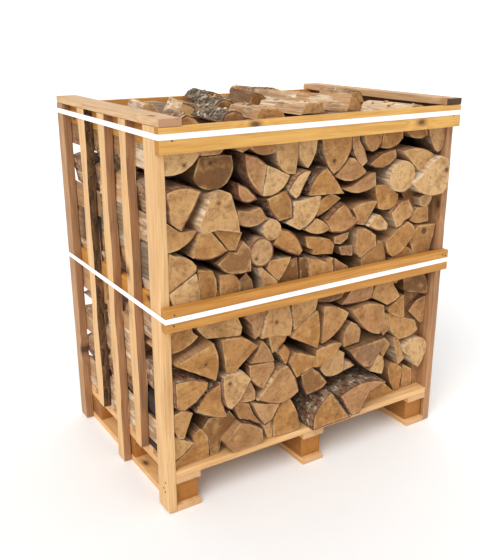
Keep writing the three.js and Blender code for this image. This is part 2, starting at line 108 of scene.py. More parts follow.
ROW_DETAIL = {"spacing": 0.008, "stations": (0, 5, 14, 26, 42, 64, 100, 150, 200), "ends": END_SHARES}
CORE_DETAIL = {"spacing": 0.018, "stations": (0, 60, 125, 190), "ends": ()}
HEAP_DETAIL = {"spacing": 0.005, "stations": tuple(range(0, 250, 7)), "ends": END_SHARES}

# Noted on the front: places on the log ends, in millimetres from the crate's left face and the floor
PALE_ENDS = [
    (889, 978), (339, 804), (382, 866), (510, 1100), (470, 1000), (500, 910), (800, 830),
    (75, 715), (240, 370), (1035, 300), (835, 305), (715, 330), (1030, 875), (1035, 960),
    (400, 1030), (80, 1120),
]
DARK_ENDS = [
    (193, 1065), (300, 700), (455, 705), (513, 710), (685, 745), (640, 610), (780, 355),
    (190, 220), (550, 320), (250, 790), (990, 905), (1075, 830), (1050, 540), (1060, 380),
]
ORANGE_ENDS = [(320, 1040), (120, 490), (290, 270), (520, 500), (630, 500)]
BARKED_ENDS = [
    (320, 1040), (80, 970), (120, 490), (160, 345), (615, 200), (760, 240), (432, 440), (300, 980),
]
BARE_ENDS = [(889, 978), (80, 1120), (400, 1030), (190, 950)]
GREY_BARKS = [(160, 345), (615, 200), (760, 240), (432, 440), (175, 340)]
PALE_SIDES = [(780, 355), (290, 190), (120, 490), (190, 950), (80, 420)]
PALE_TONE = 0.85
DARK_TONE = 0.08
TONE_STEP = 0.1  # every second pale or dark end is paler by this
ORANGE_TONE = 0.48
PALE_SIDE_SHADE = -0.7
GREY_BARK = {"grey": 0.9, "wrapped": True, "tone": 0.45, "shade": 0.2}
# The same, with the knot's radius
END_KNOTS = [
    (613, 1053, 7), (1030, 768, 12), (1075, 985, 8), (400, 562, 6), (220, 400, 6),
    (136, 487, 5), (320, 787, 5), (90, 1090, 5), (180, 1085, 7), (188, 975, 4),
]

# Loose logs on top, by number: tone from dark to pale, grey of the bark, and whether bark is left
HEAP_LOOKS = {
    1: (0.5, 0.5, True), 2: (0.12, 0.9, True), 3: (0.55, 0.0, False), 4: (0.74, 0.0, False),
    5: (0.64, 0.3, True), 6: (0.95, 0.0, False), 7: (0.88, 0.0, False), 8: (0.86, 0.8, True),
    9: (0.06, 0.6, True), 10: (0.14, 0.4, True), 11: (0.76, 0.0, False), 12: (0.98, 0.0, False),
    13: (0.68, 0.2, True), 14: (0.06, 0.6, True), 15: (0.62, 0.3, True),
}
HEAP_LUMP = 0.006
HEAP_TAPER = 0.16
CHIPS = [
    {"name": "pale_splinters", "density": 330.0, "length": 0.03, "width": 0.009, "seed": 4},
    {"name": "bark_flakes", "density": 230.0, "length": 0.014, "width": 0.008, "seed": 9},
]
CHIP_THICK = 0.0014
CHIP_LEVEL = 0.72  # chips lie where the surface faces up at least this much
CHIP_CURL = 9.0  # rise of a chip's ends, over its length squared
CHIP_SIZES = ((0.4, 0.5, 0.7), (1.5, 1.4, 1.2))  # smallest and largest, beside the usual

# Timber
BOARD_EDGE = 0.0016
BOARD_CUTS = 0.05
BOARD_WORN = 0.0007
BOARD_WEAR_PITCH = 14  # waves to a metre
BOARD_CREASE = math.radians(50)
WANE_PITCH = 9
SLAT_WANE = 0.007  # most that a slat narrows along its edges
KNOT_PITCH = 0.8  # metres of board to a knot
# Knots noted on a board: millimetres along X and up for the rails, along Y and up for the slats
BOARD_KNOTS = {
    "front_rail_upper": [(942, 1153), (300, 1190)],
    "front_rail_middle": [],
    "left_post_front": [],
    "left_post_middle": [],
    "left_slat_back": [],
    "left_slat_front": [(225, 740)],
}
NAIL_RADIUS = 0.0026
NAIL_STANDS = 0.0006
# Nails noted: on the front rails from the left face and the floor, and on the front posts' sides
RAIL_NAILS = [(39, 1164), (1086, 1166), (28, 675), (25, 642), (1092, 679), (1106, 675)]
POST_NAILS = [(18, 107), (33, 80), (23, 71)]
BACK_NAIL_REACH = 0.525  # the back rails end between the posts


def colour(code):
    """A linear colour from a hexadecimal one."""
    parts = [int(code[i:i + 2], 16) / 255 for i in (0, 2, 4)]
    return tuple(c / 12.92 if c <= 0.04045 else ((c + 0.055) / 1.055) ** 2.4 for c in parts) + (1.0,)


class Value:
    """A shader socket that takes part in sums."""

    def __init__(self, finish, socket):
        self.finish = finish
        self.socket = socket

    def combine(self, operation, a, b):
        return self.finish.node("ShaderNodeMath", {"operation": operation}, {0: a, 1: b})

    def __add__(self, other):
        return self.combine("ADD", self, other)

    def __radd__(self, other):
        return self.combine("ADD", other, self)

    def __sub__(self, other):
        return self.combine("SUBTRACT", self, other)

    def __rsub__(self, other):
        return self.combine("SUBTRACT", other, self)

    def __mul__(self, other):
        return self.combine("MULTIPLY", self, other)

    def __rmul__(self, other):
        return self.combine("MULTIPLY", other, self)


class Finish:
    """A material and the nodes it is made of."""

    def __init__(self, name, **constants):
        self.material = bpy.data.materials.new(name)
        self.material.use_nodes = True
        self.tree = self.material.node_tree
        self.surface = self.tree.nodes["Principled BSDF"]
        self.set(**constants)

    def set(self, **inputs):
        for name, value in inputs.items():
            self.plug(self.surface.inputs[name.replace("_", " ")], value)

    def plug(self, socket, value):
        if isinstance(value, Value):
            self.tree.links.new(value.socket, socket)
        else:
            socket.default_value = value

    def node(self, kind, settings, sockets, output=0):
        made = self.tree.nodes.new(kind)
        for name, value in settings.items():
            setattr(made, name, value)
        for name, value in sockets.items():
            self.plug(made.inputs[name], value)
        return Value(self, made.outputs[output])

    def attribute(self, name, output):
        return self.node("ShaderNodeAttribute", {"attribute_name": name}, {}, output)

    def place(self):
        return self.node("ShaderNodeTexCoord", {}, {}, "Object")

    def part(self, vector, axis):
        return self.node("ShaderNodeSeparateXYZ", {}, {0: vector}, axis)

    def vector(self, operation, *vectors):
        return self.node("ShaderNodeVectorMath", {"operation": operation}, dict(enumerate(vectors)))

    def stretch(self, vector, scale):
        return self.vector("MULTIPLY", vector, scale)

    def length(self, vector):
        return self.node("ShaderNodeVectorMath", {"operation": "LENGTH"}, {0: vector}, "Value")

    def noise(self, vector, scale, detail, seed):
        sockets = {"Vector": vector, "W": seed, "Scale": scale, "Detail": detail, "Roughness": 0.6}
        return self.node("ShaderNodeTexNoise", {"noise_dimensions": "4D"}, sockets)

    def step(self, value, low, high):
        sockets = {"Value": value, "From Min": low, "From Max": high}
        return self.node("ShaderNodeMapRange", {"interpolation_type": "SMOOTHSTEP"}, sockets)

    def waves(self, value):
        return self.node("ShaderNodeMath", {"operation": "PINGPONG"}, {0: value, 1: 1.0})

    def mix(self, share, first, second):
        settings = {"data_type": "RGBA", "blend_type": "MIX"}
        return self.node("ShaderNodeMix", settings, {0: share, 6: first, 7: second}, 2)

    def bump(self, height, distance):
        return self.node("ShaderNodeBump", {}, {"Height": height, "Distance": distance, "Strength": 0.9})


# Finishes of the logs. "grain" is measured from a log's pith, with its length along Y, "tint" holds the
# log's tone, its seed and how grey its bark is, "shade" is how deep its painted shade is or, below 0, how
# pale it is, "inward" goes from 0 at the edge of a sawn end to 1 on it, for the painted highlight along
# that edge, and "knot" is a knot's place across the log, with its radius along Y.


def log_inputs(finish):
    grain = finish.attribute("grain", "Vector")
    tint = finish.attribute("tint", "Vector")
    tone, seed, grey = (finish.part(tint, axis) for axis in range(3))
    return grain, tone, seed * 40, grey


def sawn_end():
    finish = Finish("sawn_log_end")
    grain, tone, seed, _ = log_inputs(finish)
    inward = finish.attribute("inward", "Fac")
    across = finish.stretch(grain, (1, 0, 1))
    rays = finish.noise(finish.vector("NORMALIZE", across), 9, 6, seed)
    rings = finish.waves(finish.length(across) * 320 + finish.noise(across, 28, 3, seed) * 5)
    mottle = finish.noise(across, 70, 6, seed + 3)
    stain = finish.noise(across, 17, 4, seed + 7)
    glow = finish.noise(across, 24, 5, seed + 11)
    pores = finish.noise(across, 420, 4, seed)
    saw = finish.noise(finish.stretch(across, (40, 1, 700)), 1, 2, seed)

    knot = finish.attribute("knot", "Vector")
    knot_away = finish.length(finish.stretch(finish.vector("SUBTRACT", grain, knot), (1, 0, 1)))
    from_knot = knot_away - finish.part(knot, 1) + (mottle - 0.5) * 0.006

    wood = finish.mix(finish.step(tone, 0.0, 0.5), colour("714a26"), colour("bb8445"))
    wood = finish.mix(finish.step(tone, 0.5, 1.0), wood, colour("dfb57d"))
    wood = finish.mix(finish.step(finish.waves(seed * 1.7), 0.4, 1.0) * 0.5, wood, colour("b98d6c"))
    wood = finish.mix(finish.step(stain, 0.45, 0.65) * 0.55, wood, colour("93602a"))
    wood = finish.mix(finish.step(glow, 0.5, 0.68) * 0.45, wood, colour("ddae6c"))
    wood = finish.mix(finish.step(mottle, 0.48, 0.66) * 0.42, wood, colour("5a3717"))
    wood = finish.mix(finish.step(rays, 0.5, 0.72) * 0.32, wood, colour("5f3a18"))
    wood = finish.mix(rings * 0.16, wood, colour("714a22"))
    wood = finish.mix(finish.step(pores, 0.5, 0.68) * 0.4, wood, colour("533418"))
    # Painted highlight along the edge of a sawn end
    painted_edge_highlight = (1 - finish.step(inward, 0.0, 1.0)) * finish.step(glow, 0.4, 0.6)
    wood = finish.mix(painted_edge_highlight * 0.5, wood, colour("e2bd86"))
    wood = finish.mix(finish.step(rays, 0.7, 0.72) * finish.step(stain, 0.5, 0.55), wood, colour("3d2615"))
    wood = finish.mix((1 - finish.step(from_knot, 0.0, 0.008)) * 0.45, wood, colour("7a4a20"))
    wood = finish.mix((1 - finish.step(from_knot, -0.003, 0.0015)) * 0.8, wood, colour("3b2413"))
    finish.set(
        Base_Color=wood,
        Roughness=0.72 + mottle * 0.2,
        Normal=finish.bump(saw * 0.5 + rings * 0.2 + mottle * 0.9 - rays * 0.3 + pores * 0.4, 0.002),
    )
    return finish.material


def split_face():
    finish = Finish("split_log_face")
    grain, tone, seed, _ = log_inputs(finish)
    fibres = finish.noise(finish.stretch(grain, (130, 5, 130)), 1, 5, seed)
    strands = finish.noise(finish.stretch(grain, (480, 9, 480)), 1, 3, seed + 2)
    patches = finish.noise(grain, 18, 4, seed + 5)
    wood = finish.mix(finish.step(tone, 0.0, 0.5), colour("61401f"), colour("b98a5c"))
    wood = finish.mix(finish.step(tone, 0.5, 1.0), wood, colour("e9c8a0"))
    wood = finish.mix(finish.step(fibres, 0.42, 0.66) * 0.6, wood, colour("7a4f29"))
    wood = finish.mix(finish.step(strands, 0.5, 0.7) * 0.4, wood, colour("e6c594"))
    wood = finish.mix(finish.step(patches, 0.5, 0.7) * 0.55, wood, colour("6a4428"))
    # Painted highlight: cream glints on the split faces of paler logs
    glint_pattern = finish.noise(finish.stretch(grain, (60, 9, 60)), 1, 4, seed + 8)
    painted_glint = finish.step(glint_pattern, 0.5, 0.6) * finish.step(tone, 0.4, 0.8)
    wood = finish.mix(painted_glint * 0.8, wood, colour("f6e4c8"))
    # Painted shade, deeper further in from a log's end; below 0, a paler side instead
    shade = finish.attribute("shade", "Fac")
    wood = finish.mix(shade, wood, colour("24160c"))
    wood = finish.mix(0 - shade, wood, colour("d9ae7c"))
    finish.set(
        Base_Color=wood,
        Roughness=0.75 + fibres * 0.2,
        Normal=finish.bump(fibres + strands * 0.4, 0.003),
    )
    return finish.material


def bark():
    finish = Finish("log_bark")
    grain, tone, seed, grey = log_inputs(finish)
    plates = finish.noise(finish.stretch(grain, (75, 28, 75)), 1, 6, seed)
    cracks = finish.noise(finish.stretch(grain, (140, 36, 140)), 1, 4, seed + 4)
    scurf = finish.noise(grain, 52, 5, seed + 9)
    raised = finish.step(plates, 0.36, 0.62)
    dark_skin = finish.mix(raised, colour("20140c"), colour("55371f"))
    brown_skin = finish.mix(raised, colour("5f3a22"), colour("9a6c48"))
    pale_skin = finish.mix(raised, colour("94694a"), colour("cfa683"))
    skin = finish.mix(finish.step(tone, 0.05, 0.45), dark_skin, brown_skin)
    skin = finish.mix(finish.step(tone, 0.5, 0.9), skin, pale_skin)
    skin = finish.mix(finish.step(plates, 0.4, 0.6) * grey * 0.8, skin, colour("96866c"))
    skin = finish.mix(finish.step(scurf, 0.54, 0.62) * grey, skin, colour("d9cdb8"))
    skin = finish.mix(finish.step(cracks, 0.54, 0.68) * 0.9, skin, colour("1d110a"))
    # Painted shade, deeper further in from a log's end
    skin = finish.mix(finish.attribute("shade", "Fac"), skin, colour("1c1008"))
    rind = 1 - finish.step(finish.part(grain, 1), 0.002, 0.007)
    skin = finish.mix(rind * 0.75, skin, colour("6f3a1f"))
    finish.set(
        Base_Color=skin,
        Roughness=0.9,
        Normal=finish.bump(plates - cracks * 0.6 + scurf * 0.3, 0.007),
    )
    return finish.material


# Finishes of the timber. "grain" runs along X in a board's own direction, then across its width and its
# thickness, "tone" is one board's own, and "knot" is the nearest knot.


def timber(name, light, dark, knot):
    finish = Finish(name)
    grain = finish.attribute("grain", "Vector")
    tone = finish.attribute("tone", "Fac")
    seed = tone * 20
    spot = finish.vector("SUBTRACT", grain, finish.attribute("knot", "Vector"))
    uneven = finish.noise(grain, 90, 2, seed) - 0.5
    away = finish.length(finish.stretch(spot, (0.55, 1, 0))) + uneven * 0.006
    round_knot = 1 - finish.step(away, 0.008, 0.05)
    figure = finish.noise(finish.stretch(grain, (1.4, 26, 26)), 1, 3, seed)
    bands = finish.waves(figure * 13 + round_knot * 2)
    streaks = finish.noise(finish.stretch(grain, (5, 240, 240)), 1, 5, seed)
    weather = finish.noise(finish.stretch(grain, (3, 11, 11)), 1, 5, seed + 3)
    saw = finish.noise(finish.stretch(grain, (520, 14, 14)), 1, 2, seed)
    wood = finish.mix(bands * 0.5 + finish.step(streaks, 0.4, 0.7) * 0.45, colour(light), colour(dark))
    wood = finish.mix(finish.step(weather, 0.45, 0.72) * 0.55, wood, colour(dark))
    wood = finish.mix(tone * 0.25, wood, colour(dark))
    wood = finish.mix((1 - finish.step(away, 0.008, 0.019)) * 0.5, wood, colour(knot))
    wood = finish.mix((1 - finish.step(away, 0.005, 0.0095)) * 0.75, wood, colour("452912"))
    finish.set(
        Base_Color=wood,
        Roughness=0.55 + streaks * 0.25,
        Normal=finish.bump(streaks * 0.7 + bands * 0.3 + saw * 0.25, 0.001),
    )
    return finish.material


def timber_end(name, light, dark):
    finish = Finish(name)
    grain = finish.attribute("grain", "Vector")
    seed = finish.attribute("tone", "Fac") * 20
    across = finish.stretch(grain, (0, 1, 1))
    rings = finish.waves(finish.length(across) * 420 + finish.noise(across, 30, 2, seed) * 3)
    pores = finish.noise(across, 400, 4, seed)
    dirt = finish.noise(across, 45, 4, seed + 3)
    wood = finish.mix(rings * 0.5 + pores * 0.3, colour(light), colour(dark))
    wood = finish.mix(finish.step(dirt, 0.5, 0.7) * 0.5, wood, colour(dark))
    finish.set(
        Base_Color=wood,
        Roughness=0.8,
        Normal=finish.bump(rings * 0.4 + pores, 0.001),
    )
    return finish.material


def waney_bark():
    finish = Finish("waney_bark")
    grain = finish.attribute("grain", "Vector")
    plates = finish.noise(finish.stretch(grain, (22, 90, 90)), 1, 6, 2.0)
    scurf = finish.noise(grain, 160, 4, 5.0)
    bare = finish.noise(finish.stretch(grain, (9, 14, 14)), 1, 3, 3.0)
    skin = finish.mix(finish.step(plates, 0.36, 0.62), colour("33200f"), colour("73502f"))
    skin = finish.mix(finish.step(scurf, 0.55, 0.7) * 0.6, skin, colour("9a8060"))
    skin = finish.mix(finish.step(bare, 0.56, 0.66) * 0.7, skin, colour("a06c3a"))
    finish.set(Base_Color=skin, Roughness=0.9, Normal=finish.bump(plates + scurf * 0.3, 0.005))
    return finish.material


def chip_wood(name, light, dark):
    finish = Finish(name)
    place = finish.place()
    patches = finish.noise(place, 26, 3, 1.0)
    fibres = finish.noise(place, 420, 3, 2.0)
    wood = finish.mix(finish.step(patches, 0.35, 0.65), colour(light), colour(dark))
    wood = finish.mix(finish.step(fibres, 0.5, 0.7) * 0.4, wood, colour(dark))
    finish.set(Base_Color=wood, Roughness=0.8, Normal=finish.bump(fibres, 0.0006))
    return finish.material


def strap_plastic():
    finish = Finish("strap_plastic")
    place = finish.place()
    emboss = finish.noise(finish.stretch(place, (350, 350, 350)), 1, 1, 0.0)
    dust = finish.noise(place, 9, 4, 0.5)
    finish.set(
        Base_Color=finish.mix(finish.step(dust, 0.5, 0.8) * 0.25, colour("fbfcfc"), colour("dfe0de")),
        Roughness=0.36 + emboss * 0.15,
        Normal=finish.bump(emboss, 0.0004),
    )
    return finish.material


def nail_steel():
    finish = Finish("nail_steel", Metallic=0.4)
    rust = finish.noise(finish.place(), 300, 3, 0.0)
    finish.set(
        Base_Color=finish.mix(finish.step(rust, 0.4, 0.65), colour("5d4a3c"), colour("4a2c18")),
        Roughness=0.5 + rust * 0.3,
    )
    return finish.material


def plain_floor():
    finish = Finish("plain_floor", Roughness=0.95)
    cloud = finish.noise(finish.place(), 2, 2, 0.0)
    finish.set(Base_Color=finish.mix(cloud * 0.1, colour("fdfdfd"), colour("f4f4f2")))
    return finish.material


LOG_FINISHES = [sawn_end(), split_face(), bark()]
END, SPLIT, BARK = range(3)

# Timber by kind of board: its faces, its ends and its narrow sides
SLAT_FACE = timber("slat_timber", "eac28c", "cd9a60", "8f5d30")
# The slats' narrow sides, and the inner faces of the right-hand slats, darker: painted shade
SHADED_SLAT_SIDE = timber("shaded_slat_side_timber", "bd8c60", "8b6040", "5e3a1c")
SLAT_END = timber_end("slat_timber_end", "cf9f7c", "976848")
CAP_FACE = timber("cap_timber", "ddb88c", "bb8f62", "8a5a34")
# End grain in painted shade, for the right cap's front end and the inner right rails
SHADED_END = timber_end("shaded_timber_end", "5c4028", "35220f")
POST_FACE = timber("back_post_timber", "c79a6c", "966a42", "5e3a1c")
PALLET_FACE = timber("pallet_timber", "eec38c", "cf9756", "7a4a22")
PALLET_END = timber_end("pallet_timber_end", "e9bd8e", "b98656")
# The pallet's blocks darker all over: painted shade for the shadow under the deck
SHADED_BLOCK_FACE = timber("block_timber", "b4762f", "7f4c1c", "4a2a10")
BLOCK_END = timber_end("block_timber_end", "c08034", "8c551f")
UPPER_RAIL_FACE = timber("upper_rail_timber", "edbd69", "c98f40", "6b3c14")
RAIL_FACE = timber("rail_timber", "dba04c", "ad6e26", "6b3c14")
SHADED_FACE = timber("shaded_timber", "73502f", "402914", "2a180a")
RAIL_END = timber_end("rail_timber_end", "cf9440", "9a6024")
WANEY_BARK = waney_bark()
TIMBER = {
    "pallet_wood": (PALLET_FACE, PALLET_END, PALLET_FACE),
    "slat_wood": (SLAT_FACE, SLAT_END, SHADED_SLAT_SIDE),
    "rail_wood": (RAIL_FACE, RAIL_END, RAIL_FACE),
}
# Boards that differ from the rest of their kind
BLOCK_TIMBER = (SHADED_BLOCK_FACE, BLOCK_END, SHADED_BLOCK_FACE)
ODD_TIMBER = {
    "left_post_front": (SLAT_FACE, SLAT_END, SLAT_FACE),
    "left_slat_back": (SLAT_FACE, SLAT_END, WANEY_BARK),
    "left_post_back": (POST_FACE, SLAT_END, SHADED_SLAT_SIDE),
    "left_cap": (CAP_FACE, SLAT_END, CAP_FACE),
    "right_cap": (CAP_FACE, SHADED_END, CAP_FACE),
    "front_rail_upper": (UPPER_RAIL_FACE, RAIL_END, UPPER_RAIL_FACE),
    "right_inner_rail_upper": (SHADED_FACE, SHADED_END, SHADED_FACE),
    "right_inner_rail_middle": (SHADED_FACE, SHADED_END, SHADED_FACE),
}
FACES, ENDS, SIDES = range(3)
FAR_AWAY = (9.0, 9.0)


def add_piece(name, mesh, nodes=()):
    piece = bpy.data.objects.new(name, mesh)
    bpy.context.scene.collection.objects.link(piece)
    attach(piece, "root")
    if nodes:
        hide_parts(*nodes)
    return piece


def store(mesh, name, kind, values, domain="POINT"):
    field = mesh.attributes.new(name, kind, domain)
    field.data.foreach_set("vector" if kind == "FLOAT_VECTOR" else "value", values)


def merged(node):
    """A copy of a solid's mesh with its corners joined."""
    form = bmesh.new()
    form.from_mesh(frame["nodes"][node].data)
    bmesh.ops.remove_doubles(form, verts=form.verts, dist=MERGE)
    form.normal_update()
    return form


class Repeat:
    """A Geometry Nodes tree with named inputs."""

    def __init__(self, name, inputs):
        self.tree = bpy.data.node_groups.new(name, "GeometryNodeTree")
        sockets = self.tree.interface
        sockets.new_socket("Geometry", in_out="INPUT", socket_type="NodeSocketGeometry")
        self.inputs = {
            label: sockets.new_socket(label, in_out="INPUT", socket_type="NodeSocket" + kind)
            for label, kind in {**inputs, "Finish": "Material"}.items()
        }
        sockets.new_socket("Geometry", in_out="OUTPUT", socket_type="NodeSocketGeometry")
        self.given = self.tree.nodes.new("NodeGroupInput").outputs

    def node(self, kind, settings, sockets, output=0):
        made = self.tree.nodes.new(kind)
        for name, value in settings.items():
            setattr(made, name, value)
        for name, value in sockets.items():
            if isinstance(value, bpy.types.NodeSocket):
                self.tree.links.new(value, made.inputs[name])
            else:
                made.inputs[name].default_value = value
        return made.outputs[output]

    def close(self, instances):
        solid = self.node("GeometryNodeRealizeInstances", {}, {"Geometry": instances})
        sockets = {"Geometry": solid, "Material": self.given["Finish"]}
        dressed = self.node("GeometryNodeSetMaterial", {}, sockets)
        self.tree.links.new(dressed, self.tree.nodes.new("NodeGroupOutput").inputs[0])

    def made(self, mesh, values):
        """The plain mesh that the tree makes of a mesh."""
        holder = bpy.data.objects.new("holder", mesh)
        bpy.context.scene.collection.objects.link(holder)
        modifier = holder.modifiers.new("repeat", "NODES")
        modifier.node_group = self.tree
        for label, value in values.items():
            modifier[self.inputs[label].identifier] = value
        graph = bpy.context.evaluated_depsgraph_get()
        result = bpy.data.meshes.new_from_object(holder.evaluated_get(graph))
        bpy.data.objects.remove(holder)
        return result


# Log ends, read from the solids


def outer_loop(region):
    """The longest run of corners round a flat region, in order."""
    following = {}
    for face in region:
        for corner in face.loops:
            if not any(other in region for other in corner.edge.link_faces if other is not face):
                following.setdefault(corner.vert, []).append(corner.link_loop_next.vert)
    loops = []
    while following:
        start = next(iter(following))
        run = [start]
        while run[-1] in following:
            ahead = following[run[-1]]
            run.append(ahead.pop())
            if not ahead:
                del following[run[-2]]
            if run[-1] is start:
                break
        loops.append([corner.co.copy() for corner in run[:-1]])
    return max(loops, key=len)


def end_faces(node, axis):
    """Each flat face that looks back along the axis, as (outline, distance along the axis)."""
    form = merged(node)
    waiting = {face for face in form.faces if face.normal.dot(axis) < -0.999}
    right = axis.cross(UP)
    found = []
    while waiting:
        region = {waiting.pop()}
        edge_of_search = list(region)
        while edge_of_search:
            for edge in edge_of_search.pop().edges:
                for other in edge.link_faces:
                    if other in waiting:
                        waiting.remove(other)
                        region.add(other)
                        edge_of_search.append(other)
        if sum(face.calc_area() for face in region) < SLIVER:
            continue
        loop = outer_loop(region)
        outline = [(p.dot(right), p.z) for p in loop]
        first = outline.index(min(outline))
        found.append((outline[first:] + outline[:first], loop[0].dot(axis)))
    form.free()
    return sorted(found)


def holds(outline, x, z):
    """Whether a point lies inside an outline."""
    inside = False
    for (ax, az), (bx, bz) in zip(outline, outline[1:] + outline[:1]):
        if (az > z) != (bz > z) and x < ax + (z - az) * (bx - ax) / (bz - az):
            inside = not inside
    return inside


def turn_at(before, here, after):
    first = Vector(here) - Vector(before)
    second = Vector(after) - Vector(here)
    return math.atan2(first.x * second.y - first.y * second.x, first.dot(second))


def soft_turns(outline):
    """How far an outline turns at each rounded corner, and 0 at each sharp one."""
    count = len(outline)
    turns = [turn_at(outline[i - 1], outline[i], outline[(i + 1) % count]) for i in range(count)]
    return [turn if BARK_TURN[0] < turn < BARK_TURN[1] else 0 for turn in turns]


def sides_of(outline):
    """Whether each side of an outline is rounded, as the outside of a tree is."""
    turns = soft_turns(outline)
    return [bool(turn or after) for turn, after in zip(turns, turns[1:] + turns[:1])]


def bows_of(outline, sides):
    """How far each rounded side bows out, as a share of its length."""
    turns = soft_turns(outline)
    means = [(turn + after) / 2 for turn, after in zip(turns, turns[1:] + turns[:1])]
    return [mean * BOW_OF_TURN if side else 0 for mean, side in zip(means, sides)]


def pith_of(outline, sides):
    """The middle of the tree: a round log's centre, or the corner furthest from the bark."""
    centre = sum((Vector(p) for p in outline), Vector((0, 0))) / len(outline)
    if all(sides):
        return centre
    barked = [Vector(outline[i]) for i, side in enumerate(sides) if side] or [centre]
    middle = sum(barked, Vector((0, 0))) / len(barked)
    return max((Vector(p) for p in outline), key=lambda p: (p - middle).length)


class Logs:
    """Logs joined in one mesh."""

    def __init__(self):
        self.points = []
        self.faces = []
        self.finishes = []
        self.grain = []
        self.tint = []
        self.knot = []
        self.shade = []
        self.inward = []

    def add(self, outline, start, stop, axis, detail, look):
        """A log of the given outline, (right, up), along an axis from start to stop."""
        chance = random.Random(look["seed"])
        sides = [True] * len(outline) if look["wrapped"] else sides_of(outline)
        pith = pith_of(outline, sides)
        right = axis.cross(UP)
        barked = chance.random() < BARK_SHARE if look["barked"] is None else look["barked"]
        tilt = Vector((chance.uniform(-END_TILT, END_TILT), chance.uniform(-END_TILT, END_TILT)))
        drift = Vector((look["seed"] * 3.7, 0, look["seed"] * 1.3))
        length = stop - start
        taper = chance.uniform(0.3, 1) * look["taper"]
        rind = BARK_THICK * chance.uniform(0.6, 2)

        # Corners close enough together to follow the fibres, each with whether there is bark
        ring = []
        bows = bows_of(outline, sides)
        for i, here in enumerate(outline):
            along = Vector(outline[(i + 1) % len(outline)]) - Vector(here)
            steps = max(1, round(along.length / detail["spacing"]))
            bow = Vector((along.y, -along.x)) * bows[i]
            for step in range(steps):
                t = step / steps
                ring.append((Vector(here) + along * t + bow * 4 * t * (1 - t), sides[i] and barked))
        count = len(ring)
        outwards = []
        for i in range(count):
            past = ring[(i + 1) % count][0] - ring[i - 1][0]
            outwards.append(Vector((past.y, -past.x)).normalized())
        centre = sum((point for point, _ in ring), Vector((0, 0))) / count
        foot = Vector((centre.x, min(point.y for point, _ in ring)))
        lowest = min(tilt.dot(point - pith) for point, _ in ring)
        first = len(self.points)

        def put(flat, distance, inward):
            flat = foot + (flat - foot) * (1 - taper * distance / length)
            flat.y = max(flat.y, foot.y)
            self.points.append(right * flat.x + UP * flat.y + axis * (start + distance))
            self.grain.extend((flat.x - pith.x, distance, flat.y - pith.y))
            self.tint.extend((look["tone"], look["seed"] % 1.0, look["grey"]))
            self.knot.extend((look["knot"][0] - pith.x, look["knot"][2], look["knot"][1] - pith.y))
            self.shade.append(look["shade"] * min(1, distance / SHADE_REACH))
            self.inward.append(inward)

        def wear(point, has_bark, station):
            run = BARK_RUN if has_bark else SPLIT_RUN
            where = Vector((point.x * WEAR_PITCH, station * run, point.y * WEAR_PITCH)) + drift
            rough = min(1, max(0, 0.5 + 0.5 * noise.fractal(where, 0.8, 2.0, 3)))
            lump = look["lump"] * (0.5 + 0.5 * noise.noise(where * LUMP_SHARE))
            return (BARK_DEPTH if has_bark else SPLIT_DEPTH) * rough + lump - look["swell"]

        def lean(flat):
            return tilt.dot(flat - pith) - lowest

        def band(outer, inner, finishes):
            for i in range(count):
                j = (i + 1) % count
                self.faces.append((outer + i, outer + j, inner + j, inner + i))
                self.finishes.append(finishes[i])

        side_finishes = [BARK if has_bark else SPLIT for _, has_bark in ring]
        stations = [s * MM for s in detail["stations"] if s * MM < length - LAST_STATION] + [length]
        for order, station in enumerate(stations):
            for (point, has_bark), outward in zip(ring, outwards):
                depth = wear(point, has_bark, station)
                shift = lean(point) * max(0, 1 - station / TILT_REACH)
                chip = END_CHIP * abs(noise.noise(point.to_3d() * CHIP_PITCH + drift)) if order == 0 else 0
                put(point - outward * depth, min(station + shift + chip, length), 0)
        for row in range(len(stations) - 1):
            band(first + (row + 1) * count, first + row * count, side_finishes)
        last = first + (len(stations) - 1) * count
        self.faces.append(tuple(range(last, last + count))[::-1])
        self.finishes.append(END)

        # The sawn end: its edge inside the bark, then rings towards the middle
        edge = [
            point - outward * (wear(point, has_bark, 0) + (rind if has_bark else RIM))
            for (point, has_bark), outward in zip(ring, outwards)
        ]
        outer = first
        end_finishes = [BARK if has_bark else END for _, has_bark in ring]
        for share in (1,) + detail["ends"]:
            inner = len(self.points)
            for point in edge:
                flat = centre + (point - centre) * share
                relief = END_RELIEF * noise.noise(flat.to_3d() * RELIEF_PITCH + drift) if share < 1 else 0
                inward = min(1, (flat - point).length / EDGE_HIGHLIGHT_REACH)
                put(flat, max(0, lean(flat) + relief), inward)
            band(outer, inner, end_finishes)
            end_finishes = [END] * count
            outer = inner
        self.faces.append(tuple(range(outer, outer + count)))
        self.finishes.append(END)

    def finish(self, name, nodes):
        mesh = bpy.data.meshes.new(name)
        mesh.from_pydata(self.points, [], self.faces)
        for material in LOG_FINISHES:
            mesh.materials.append(material)
        mesh.polygons.foreach_set("material_index", self.finishes)
        store(mesh, "grain", "FLOAT_VECTOR", self.grain)
        store(mesh, "tint", "FLOAT_VECTOR", self.tint)
        store(mesh, "knot", "FLOAT_VECTOR", self.knot)
        store(mesh, "shade", "FLOAT", self.shade)
        store(mesh, "inward", "FLOAT", self.inward)
        mesh.shade_smooth()
        mesh.set_sharp_from_angle(angle=LOG_CREASE)
        mesh.update()
        return add_piece(name, mesh, nodes)


CRATE_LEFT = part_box("left_post_front")[0].x
CRATE_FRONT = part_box("left_post_front")[0].y
STACK_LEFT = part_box("log_row_front")[0].x
STACK_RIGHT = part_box("log_row_front")[1].x
NO_KNOT = (0, 0, -1)


def noted(outline, places):
    """The first of the noted places on the front that lies on this log end, in metres."""
    for place in places:
        x, z, *rest = [value * MM for value in place]
        if holds(outline, CRATE_LEFT + x, z):
            return (CRATE_LEFT + x, z, *rest)
    return None


